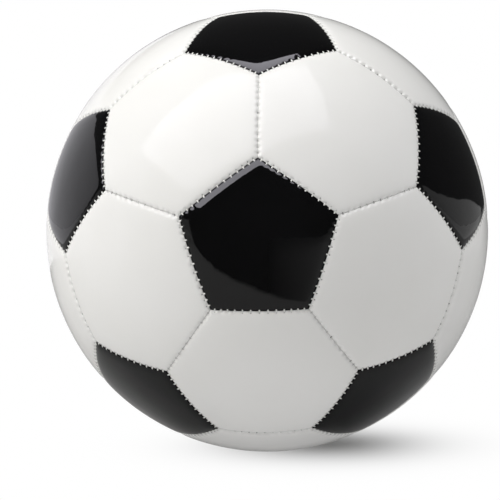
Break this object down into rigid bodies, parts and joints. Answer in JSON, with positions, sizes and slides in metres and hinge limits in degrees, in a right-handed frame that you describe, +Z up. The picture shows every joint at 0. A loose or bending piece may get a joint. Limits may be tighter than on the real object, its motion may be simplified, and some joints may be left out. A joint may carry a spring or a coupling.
{
  "type": "soccer ball",
  "caption": "Hand-stitched soccer ball of glossy black pentagon and white hexagon panels, with backing, bladder and a needle valve.",
  "frame": {"origin": "centre of the ball", "axes": "+Z up; -Y out through the middle of the black pentagon that faces the camera, which has one corner up; X is a two-fold axis of the panel pattern, and the valve lies in the YZ plane in the upper back hexagon"},
  "size_m": [0.22, 0.22, 0.22],
  "materials": {
    "black_cover": "glossy coated synthetic leather",
    "white_cover": "glossy coated synthetic leather",
    "foam": "soft closed-cell foam",
    "lining": "plain weave polyester and cotton",
    "thread": "waxed polyester cord",
    "bladder": "matt",
    "valve": "satin",
    "valve_core": "satin"
  },
  "bodies": {
    "root": {"pentagon_panel_01": "black_cover", "pentagon_panel_02": "black_cover", "pentagon_panel_03": "black_cover", "pentagon_panel_04": "black_cover", "pentagon_panel_05": "black_cover", "pentagon_panel_06": "black_cover", "pentagon_panel_07": "black_cover", "pentagon_panel_08": "black_cover", "pentagon_panel_09": "black_cover", "pentagon_panel_10": "black_cover", "pentagon_panel_11": "black_cover", "pentagon_panel_12": "black_cover", "hexagon_panel_01": "white_cover", "hexagon_panel_02": "white_cover", "hexagon_panel_03": "white_cover", "hexagon_panel_04": "white_cover", "hexagon_panel_05": "white_cover", "hexagon_panel_06": "white_cover", "hexagon_panel_07": "white_cover", "hexagon_panel_08": "white_cover", "hexagon_panel_09": "white_cover", "hexagon_panel_10": "white_cover", "hexagon_panel_11": "white_cover", "hexagon_panel_12": "white_cover", "hexagon_panel_13": "white_cover", "hexagon_panel_14": "white_cover", "hexagon_panel_15": "white_cover", "hexagon_panel_16": "white_cover", "hexagon_panel_17": "white_cover", "hexagon_panel_18": "white_cover", "hexagon_panel_19": "white_cover", "valve_panel": "white_cover", "pentagon_foam": "foam", "hexagon_foam": "foam", "pentagon_lining": "lining", "hexagon_lining": "lining", "pentagon_seam_thread": "thread", "hexagon_seam_thread": "thread", "bladder": "bladder", "valve_body": "valve", "valve_core": "valve_core"}
  },
  "joints": []
}
